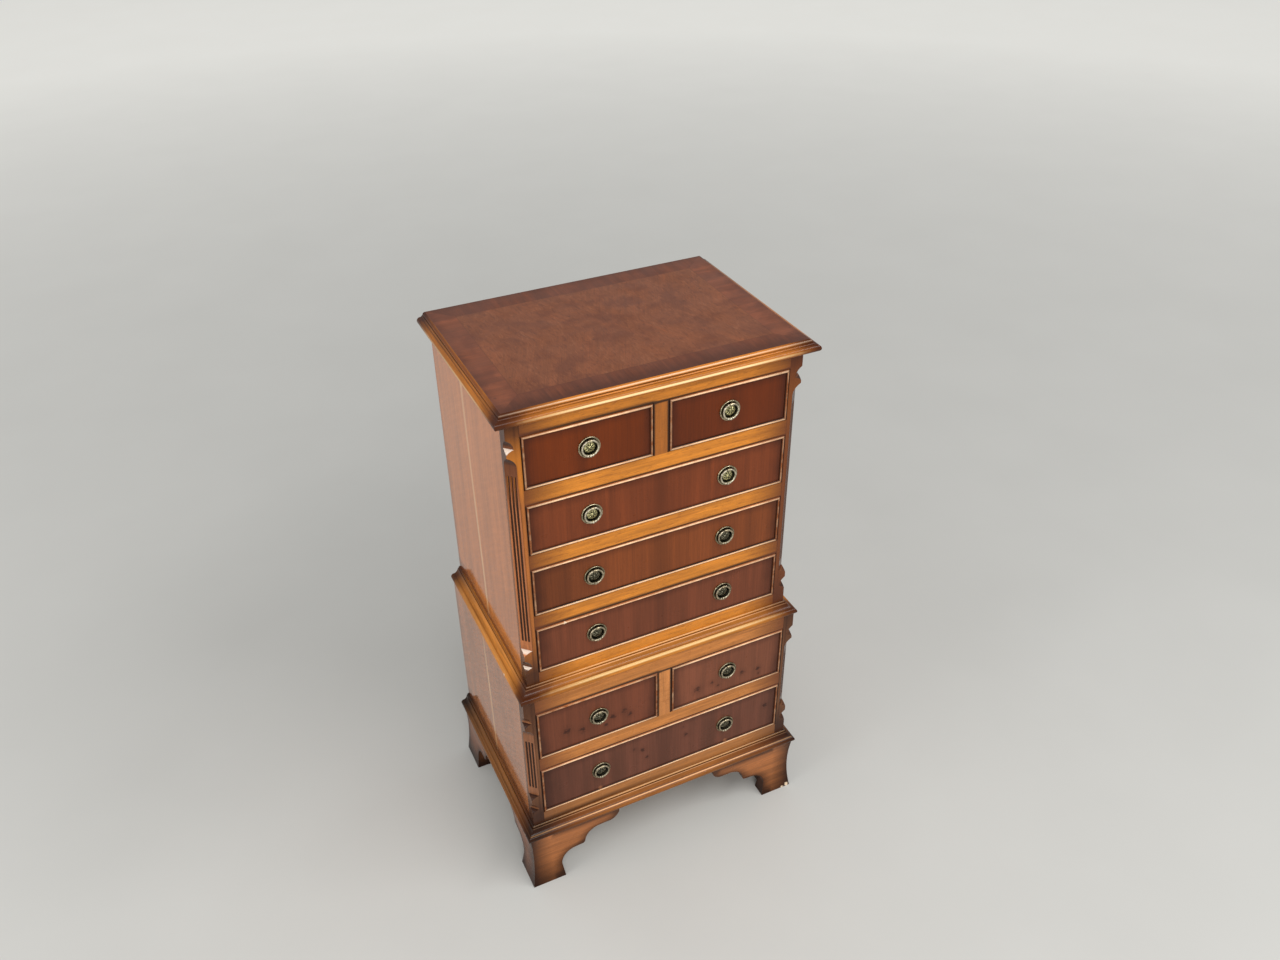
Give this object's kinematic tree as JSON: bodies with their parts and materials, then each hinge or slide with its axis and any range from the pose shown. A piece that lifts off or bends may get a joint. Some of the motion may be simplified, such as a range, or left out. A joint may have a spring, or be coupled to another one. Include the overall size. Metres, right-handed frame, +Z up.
{
  "type": "chest on chest",
  "caption": "Two-part chest on chest with inset drawers, ring handles, canted fluted corner posts and swept scroll-cut bracket feet.",
  "frame": {"origin": "on the floor under the centre of the overall footprint", "axes": "+Z up, -Y out of the drawer fronts, +X to the right seen from the front"},
  "size_m": [0.508, 0.351, 0.914],
  "materials": {
    "veneer": "polished figured veneer",
    "drawer_veneer": "polished dark figured veneer with lighter cockbeads",
    "stained_hardwood": "stained and polished hardwood",
    "carcase_board": "plain unpolished board",
    "drawer_lining": "plain waxed drawer wood",
    "aged_brass": "dull aged brass, worn bright on the rims"
  },
  "bodies": {
    "case": {"top_board": "veneer", "top_moulding": "stained_hardwood", "waist_moulding": "stained_hardwood", "base_moulding": "stained_hardwood", "front_foot_left": "stained_hardwood", "front_foot_right": "stained_hardwood", "rear_foot_left": "stained_hardwood", "rear_foot_right": "stained_hardwood", "lower_top": "carcase_board", "upper_side_left": "veneer", "upper_side_right": "veneer", "upper_back": "carcase_board", "upper_bottom": "carcase_board", "upper_front_rails": "stained_hardwood", "upper_runners": "carcase_board", "upper_corner_posts": "stained_hardwood", "lower_side_left": "veneer", "lower_side_right": "veneer", "lower_back": "carcase_board", "lower_bottom": "carcase_board", "lower_front_rails": "stained_hardwood", "lower_runners": "carcase_board", "lower_corner_posts": "stained_hardwood"},
    "drawer_upper_left": {"drawer_front_upper_left": "drawer_veneer", "drawer_box_upper_left": "drawer_lining", "handle_plates_upper_left": "aged_brass"},
    "ring_upper_left": {"ring_upper_left": "aged_brass"},
    "drawer_upper_right": {"drawer_front_upper_right": "drawer_veneer", "drawer_box_upper_right": "drawer_lining", "handle_plates_upper_right": "aged_brass"},
    "ring_upper_right": {"ring_upper_right": "aged_brass"},
    "drawer_upper_second": {"drawer_front_upper_second": "drawer_veneer", "drawer_box_upper_second": "drawer_lining", "handle_plates_upper_second": "aged_brass"},
    "ring_upper_second_left": {"ring_upper_second_left": "aged_brass"},
    "ring_upper_second_right": {"ring_upper_second_right": "aged_brass"},
    "drawer_upper_third": {"drawer_front_upper_third": "drawer_veneer", "drawer_box_upper_third": "drawer_lining", "handle_plates_upper_third": "aged_brass"},
    "ring_upper_third_left": {"ring_upper_third_left": "aged_brass"},
    "ring_upper_third_right": {"ring_upper_third_right": "aged_brass"},
    "drawer_upper_fourth": {"drawer_front_upper_fourth": "drawer_veneer", "drawer_box_upper_fourth": "drawer_lining", "handle_plates_upper_fourth": "aged_brass"},
    "ring_upper_fourth_left": {"ring_upper_fourth_left": "aged_brass"},
    "ring_upper_fourth_right": {"ring_upper_fourth_right": "aged_brass"},
    "drawer_lower_left": {"drawer_front_lower_left": "drawer_veneer", "drawer_box_lower_left": "drawer_lining", "handle_plates_lower_left": "aged_brass"},
    "ring_lower_left": {"ring_lower_left": "aged_brass"},
    "drawer_lower_right": {"drawer_front_lower_right": "drawer_veneer", "drawer_box_lower_right": "drawer_lining", "handle_plates_lower_right": "aged_brass"},
    "ring_lower_right": {"ring_lower_right": "aged_brass"},
    "drawer_lower_second": {"drawer_front_lower_second": "drawer_veneer", "drawer_box_lower_second": "drawer_lining", "handle_plates_lower_second": "aged_brass"},
    "ring_lower_second_left": {"ring_lower_second_left": "aged_brass"},
    "ring_lower_second_right": {"ring_lower_second_right": "aged_brass"}
  },
  "joints": [
    {"name": "upper_left_slide", "type": "slide", "parent": "case", "child": "drawer_upper_left", "axis": [0, -1, 0], "range_m": [0, 0.22]},
    {"name": "ring_upper_left_swing", "type": "hinge", "parent": "drawer_upper_left", "child": "ring_upper_left", "pos_m": [-0.10775, -0.1493, 0.83896], "axis": [-1, 0, 0], "range_deg": [0, 140]},
    {"name": "upper_right_slide", "type": "slide", "parent": "case", "child": "drawer_upper_right", "axis": [0, -1, 0], "range_m": [0, 0.22]},
    {"name": "ring_upper_right_swing", "type": "hinge", "parent": "drawer_upper_right", "child": "ring_upper_right", "pos_m": [0.10775, -0.1493, 0.83896], "axis": [-1, 0, 0], "range_deg": [0, 140]},
    {"name": "upper_second_slide", "type": "slide", "parent": "case", "child": "drawer_upper_second", "axis": [0, -1, 0], "range_m": [0, 0.22]},
    {"name": "ring_upper_second_left_swing", "type": "hinge", "parent": "drawer_upper_second", "child": "ring_upper_second_left", "pos_m": [-0.10775, -0.1493, 0.72866], "axis": [-1, 0, 0], "range_deg": [0, 140]},
    {"name": "ring_upper_second_right_swing", "type": "hinge", "parent": "drawer_upper_second", "child": "ring_upper_second_right", "pos_m": [0.10775, -0.1493, 0.72866], "axis": [-1, 0, 0], "range_deg": [0, 140]},
    {"name": "upper_third_slide", "type": "slide", "parent": "case", "child": "drawer_upper_third", "axis": [0, -1, 0], "range_m": [0, 0.22]},
    {"name": "ring_upper_third_left_swing", "type": "hinge", "parent": "drawer_upper_third", "child": "ring_upper_third_left", "pos_m": [-0.10775, -0.1493, 0.61836], "axis": [-1, 0, 0], "range_deg": [0, 140]},
    {"name": "ring_upper_third_right_swing", "type": "hinge", "parent": "drawer_upper_third", "child": "ring_upper_third_right", "pos_m": [0.10775, -0.1493, 0.61836], "axis": [-1, 0, 0], "range_deg": [0, 140]},
    {"name": "upper_fourth_slide", "type": "slide", "parent": "case", "child": "drawer_upper_fourth", "axis": [0, -1, 0], "range_m": [0, 0.22]},
    {"name": "ring_upper_fourth_left_swing", "type": "hinge", "parent": "drawer_upper_fourth", "child": "ring_upper_fourth_left", "pos_m": [-0.10775, -0.1493, 0.50806], "axis": [-1, 0, 0], "range_deg": [0, 140]},
    {"name": "ring_upper_fourth_right_swing", "type": "hinge", "parent": "drawer_upper_fourth", "child": "ring_upper_fourth_right", "pos_m": [0.10775, -0.1493, 0.50806], "axis": [-1, 0, 0], "range_deg": [0, 140]},
    {"name": "lower_left_slide", "type": "slide", "parent": "case", "child": "drawer_lower_left", "axis": [0, -1, 0], "range_m": [0, 0.22]},
    {"name": "ring_lower_left_swing", "type": "hinge", "parent": "drawer_lower_left", "child": "ring_lower_left", "pos_m": [-0.1155, -0.1633, 0.34636], "axis": [-1, 0, 0], "range_deg": [0, 140]},
    {"name": "lower_right_slide", "type": "slide", "parent": "case", "child": "drawer_lower_right", "axis": [0, -1, 0], "range_m": [0, 0.22]},
    {"name": "ring_lower_right_swing", "type": "hinge", "parent": "drawer_lower_right", "child": "ring_lower_right", "pos_m": [0.1155, -0.1633, 0.34636], "axis": [-1, 0, 0], "range_deg": [0, 140]},
    {"name": "lower_second_slide", "type": "slide", "parent": "case", "child": "drawer_lower_second", "axis": [0, -1, 0], "range_m": [0, 0.22]},
    {"name": "ring_lower_second_left_swing", "type": "hinge", "parent": "drawer_lower_second", "child": "ring_lower_second_left", "pos_m": [-0.1155, -0.1633, 0.22116], "axis": [-1, 0, 0], "range_deg": [0, 140]},
    {"name": "ring_lower_second_right_swing", "type": "hinge", "parent": "drawer_lower_second", "child": "ring_lower_second_right", "pos_m": [0.1155, -0.1633, 0.22116], "axis": [-1, 0, 0], "range_deg": [0, 140]}
  ]
}
